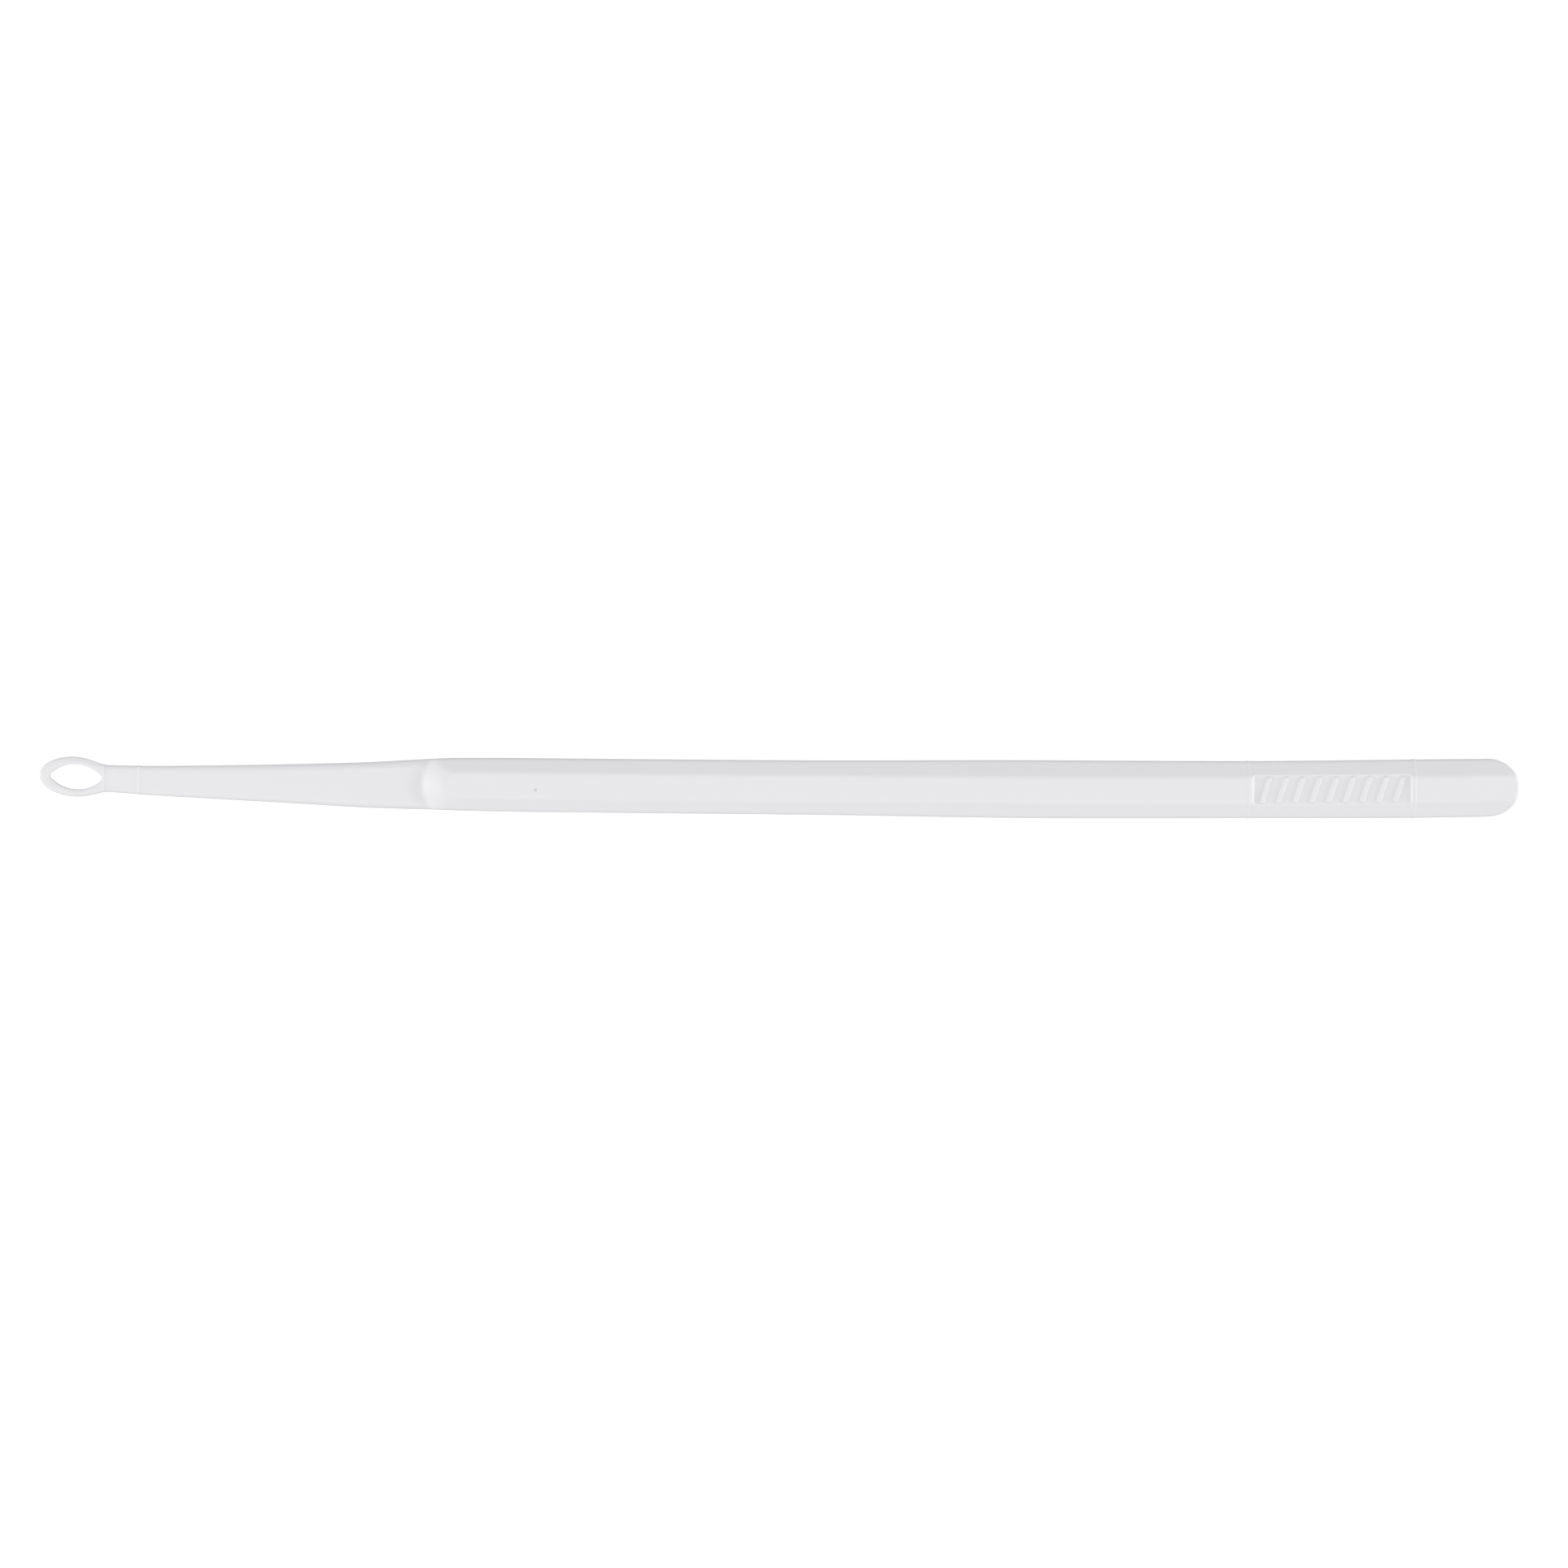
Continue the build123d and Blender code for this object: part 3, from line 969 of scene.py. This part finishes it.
def clouding_group():
    """Faint flow marks and rare specks in the plastic's colour."""
    name = "Flow Clouding"
    if name in bpy.data.node_groups:
        return bpy.data.node_groups[name]
    inputs = [
        ("Plastic", "NodeSocketColor", (0.8, 0.8, 0.8, 1.0)),
        ("Clouding", "NodeSocketColor", (0.75, 0.75, 0.75, 1.0)),
        ("Dust", "NodeSocketColor", (0.6, 0.6, 0.6, 1.0)),
        ("Amount", "NodeSocketFloat", 0.3),
    ]
    group, given, made = new_group(name, inputs, [("Colour", "NodeSocketColor")])
    stretch = group.nodes.new("ShaderNodeMapping")
    stretch.inputs["Scale"].default_value = (0.25, 1.0, 1.0)
    space = group.nodes.new("ShaderNodeTexCoord")
    group.links.new(space.outputs["Object"], stretch.inputs["Vector"])
    cloud = group.nodes.new("ShaderNodeTexNoise")
    cloud.inputs["Scale"].default_value = 320.0
    cloud.inputs["Detail"].default_value = 3.0
    group.links.new(stretch.outputs[0], cloud.inputs["Vector"])
    weight = maths(group, "MULTIPLY", cloud.outputs["Fac"], given["Amount"])
    tinted = mixed(group, weight, given["Plastic"], given["Clouding"])
    specks = group.nodes.new("ShaderNodeTexVoronoi")
    specks.inputs["Scale"].default_value = 420.0
    group.links.new(space.outputs["Object"], specks.inputs["Vector"])
    speck = maths(group, "LESS_THAN", specks.outputs["Distance"], SPECK_SIZE)
    weight = maths(group, "MULTIPLY", speck, SPECK_STRENGTH)
    group.links.new(mixed(group, weight, tinted, given["Dust"]), made["Colour"])
    return group


def wear_group():
    """Handled corners: 1 along raised edges, 0 on the flats."""
    name = "Corner Wear"
    if name in bpy.data.node_groups:
        return bpy.data.node_groups[name]
    inputs = [("Strength", "NodeSocketFloat", 1.0)]
    group, given, made = new_group(name, inputs, [("Mask", "NodeSocketFloat")])
    geometry = group.nodes.new("ShaderNodeNewGeometry")
    edge = group.nodes.new("ShaderNodeMapRange")
    edge.inputs["From Min"].default_value = 0.5
    edge.inputs["From Max"].default_value = 0.6
    group.links.new(geometry.outputs["Pointiness"], edge.inputs["Value"])
    patches = noise(group, scale=900.0, detail=2.0)
    broken = maths(group, "MULTIPLY", edge.outputs["Result"], patches)
    group.links.new(maths(group, "MULTIPLY", broken, given["Strength"]), made["Mask"])
    return group


def place_group(material, group, **values):
    """Put a shared group in a material with its own values."""
    node = material.node_tree.nodes.new("ShaderNodeGroup")
    node.node_tree = group
    for label, value in values.items():
        node.inputs[label.replace("_", " ")].default_value = value
    return node.outputs


def white_plastic(name, roughness, grain_scale, grain_depth, clouding, wear):
    """A white moulded plastic with its own polish, grain and wear."""
    if name in bpy.data.materials:
        return bpy.data.materials[name]
    finish = settings().finish
    material = bpy.data.materials.new(name)
    material.use_nodes = True
    tree = material.node_tree
    shader = tree.nodes["Principled BSDF"]
    shader.inputs["IOR"].default_value = 1.49
    shader.inputs["Specular IOR Level"].default_value = 0.4
    colour = place_group(material, clouding_group(), Plastic=(*finish.plastic, 1.0),
                         Clouding=(*finish.clouding, 1.0), Dust=(*finish.dust, 1.0),
                         Amount=clouding)
    grain = place_group(material, grain_group(), Grain_Scale=grain_scale, Waviness=0.5)
    worn = place_group(material, wear_group(), Strength=wear)
    tree.links.new(colour["Colour"], shader.inputs["Base Color"])
    uneven = maths(tree, "MULTIPLY_ADD", grain["Mask"], ROUGH_SPREAD)
    uneven.node.inputs[2].default_value = roughness - ROUGH_SPREAD / 2
    smoothed = maths(tree, "MULTIPLY", worn["Mask"], HAND_POLISH)
    tree.links.new(maths(tree, "SUBTRACT", uneven, smoothed), shader.inputs["Roughness"])
    bump = tree.nodes.new("ShaderNodeBump")
    bump.inputs["Strength"].default_value = 0.5
    bump.inputs["Distance"].default_value = grain_depth
    tree.links.new(grain["Height"], bump.inputs["Height"])
    tree.links.new(bump.outputs["Normal"], shader.inputs["Normal"])
    return material


def satin_white():
    """Neck, handle and butt end, as they leave a fine-stoned mould."""
    return white_plastic("satin_white", settings().finish.satin, grain_scale=2600.0,
                         grain_depth=0.004 * MM, clouding=0.3, wear=0.6)


def polished_white():
    """Loop and stem, from the mould's finely polished tip insert."""
    return white_plastic("polished_white", settings().finish.polished, grain_scale=3400.0,
                         grain_depth=0.002 * MM, clouding=0.2, wear=0.3)


def eroded_white_painted_shade():
    """Pocket floor: a spark-eroded grain, and stronger clouding that paints shade in the recess.
    """
    # clouding 0.45 darkens the recessed floor: painted shade over the real flow marks
    return white_plastic("eroded_white_painted_shade", settings().finish.eroded, grain_scale=5200.0,
                         grain_depth=0.012 * MM, clouding=0.45, wear=0.0)


def rib_white():
    """The raised ribs, slightly polished by handling."""
    return white_plastic("rib_white", settings().finish.satin, grain_scale=3000.0,
                         grain_depth=0.004 * MM, clouding=0.25, wear=1.0)


# Stage ----------------------------------------------------------------

FLOOR_REACH = 100.0         # middle of the floor to its edge
FLOOR_GAP = 0.01 * MM       # room under the joint lines of the lower flat


def add_floor():
    """A plain pale floor that glows faintly, as a light table does."""
    mesh = bmesh.new()
    bmesh.ops.create_grid(mesh, x_segments=8, y_segments=8, size=FLOOR_REACH)
    data = bpy.data.meshes.new("floor")
    mesh.to_mesh(data)
    mesh.free()
    floor = bpy.data.objects.new("floor", data)
    floor.location.z = -settings().handle.line_height - FLOOR_GAP
    bpy.context.scene.collection.objects.link(floor)
    material = bpy.data.materials.new("pale_floor")
    material.use_nodes = True
    tree = material.node_tree
    paper = tree.nodes["Principled BSDF"]
    paper.inputs["Roughness"].default_value = 0.9
    paper.inputs["Base Color"].default_value = (0.55, 0.55, 0.56, 1.0)
    table = tree.nodes.new("ShaderNodeBsdfDiffuse")
    table.inputs["Color"].default_value = (0.3, 0.3, 0.3, 1.0)
    glow = tree.nodes.new("ShaderNodeEmission")
    glow.inputs["Strength"].default_value = settings().stage.floor_glow
    lit = tree.nodes.new("ShaderNodeAddShader")
    tree.links.new(table.outputs[0], lit.inputs[0])
    tree.links.new(glow.outputs[0], lit.inputs[1])
    path = tree.nodes.new("ShaderNodeLightPath")
    either = tree.nodes.new("ShaderNodeMixShader")
    tree.links.new(path.outputs["Is Camera Ray"], either.inputs[0])
    tree.links.new(paper.outputs[0], either.inputs[1])
    tree.links.new(lit.outputs[0], either.inputs[2])
    tree.links.new(either.outputs[0], tree.nodes["Material Output"].inputs["Surface"])
    data.materials.append(material)
    floor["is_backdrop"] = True


def add_softbox(name, watts, width, depth, place):
    """A rectangular softbox that shines at the middle of the tool and isn't seen itself."""
    light = bpy.data.lights.new(name, "AREA")
    light.shape = "RECTANGLE"
    light.size, light.size_y = width, depth
    light.energy = watts
    box = bpy.data.objects.new(name, light)
    box.location = place
    box.rotation_euler = Vector(place).to_track_quat("Z", "Y").to_euler()
    box.visible_camera = False
    bpy.context.scene.collection.objects.link(box)


def add_sky():
    """Plain bright surroundings, as in a white tent."""
    world = bpy.data.worlds.new("tent")
    world.use_nodes = True
    background = world.node_tree.nodes["Background"]
    background.inputs["Color"].default_value = (0.985, 0.99, 1.0, 1.0)
    background.inputs["Strength"].default_value = settings().stage.sky
    bpy.context.scene.world = world


def add_camera():
    """A long lens straight above the tool, turned and leant a little."""
    stage = settings().stage
    data = bpy.data.cameras.new("camera")
    data.lens = stage.lens
    data.sensor_width = 36.0
    data.clip_start, data.clip_end = 0.01, 20.0
    camera = bpy.data.objects.new("camera", data)
    low, high = CAD_BOX
    middle = (low + high) / 2
    target = Vector((middle.x + stage.view_x, middle.y + stage.view_y, middle.z))
    turn = Euler((-stage.tilt, 0.0, stage.roll))
    distance = stage.view_width * stage.lens / data.sensor_width
    camera.rotation_euler = turn
    camera.location = target + turn.to_matrix() @ Vector((0.0, 0.0, distance))
    bpy.context.scene.collection.objects.link(camera)
    bpy.context.scene.camera = camera


class CURETTE_OT_stage(bpy.types.Operator):
    """Set up the floor, the soft lights and the camera"""

    bl_idname = "curette.stage"
    bl_label = "Stage"

    def execute(self, context):
        stage = context.scene.curette.stage
        add_floor()
        add_sky()
        add_softbox("left_box", stage.left_light, width=0.3, depth=0.3, place=(-0.78, 0.0, 0.17))
        add_softbox("right_box", stage.right_light, width=0.3, depth=0.3, place=(0.78, 0.0, 0.17))
        add_softbox("front_box", stage.front_light, width=0.5, depth=0.25,
                    place=(-0.25, -0.45, 0.28))
        add_softbox("top_box", stage.top_light, width=0.8, depth=0.3, place=(0.0, -0.1, 0.9))
        add_camera()
        context.scene.view_settings.view_transform = "Standard"
        return {"FINISHED"}


# Panel and registration -----------------------------------------------

OPERATORS = (
    CURETTE_OT_loop,
    CURETTE_OT_strip,
    CURETTE_OT_handle,
    CURETTE_OT_panel,
    CURETTE_OT_ribs,
    CURETTE_OT_butt,
    CURETTE_OT_stage,
)


class CURETTE_PT_sidebar(bpy.types.Panel):
    """The curette's settings and the steps that build it"""

    bl_idname = "CURETTE_PT_sidebar"
    bl_label = "Loop Curette"
    bl_space_type = "VIEW_3D"
    bl_region_type = "UI"
    bl_category = "Curette"

    def draw(self, context):
        curette = context.scene.curette
        for part in ("loop", "strip", "handle", "panel", "end", "finish", "stage"):
            box = self.layout.box()
            box.label(text=part.title())
            group = getattr(curette, part)
            for field in group.__annotations__:
                box.prop(group, field)
        for step in OPERATORS:
            self.layout.operator(step.bl_idname)


GROUPS = (CuretteLoop, CuretteStrip, CuretteHandle, CurettePanel, CuretteEnd, CuretteFinish,
          CuretteStage, CuretteSettings)


def register():
    """Register the settings, the steps and the panel."""
    for item in (*GROUPS, *OPERATORS, CURETTE_PT_sidebar):
        bpy.utils.register_class(item)
    bpy.types.Scene.curette = PointerProperty(type=CuretteSettings)


def unregister():
    """Take everything away again."""
    del bpy.types.Scene.curette
    for item in reversed((*GROUPS, *OPERATORS, CURETTE_PT_sidebar)):
        bpy.utils.unregister_class(item)


def main():
    """Build every piece and the stage."""
    register()
    for step in OPERATORS:
        family, name = step.bl_idname.split(".")
        getattr(getattr(bpy.ops, family), name)()
    boxes = {"cad": CAD_BOX, "visual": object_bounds()}
    boxes = {name: [list(low), list(high)] for name, (low, high) in boxes.items()}


if __name__ == "__main__":
    main()
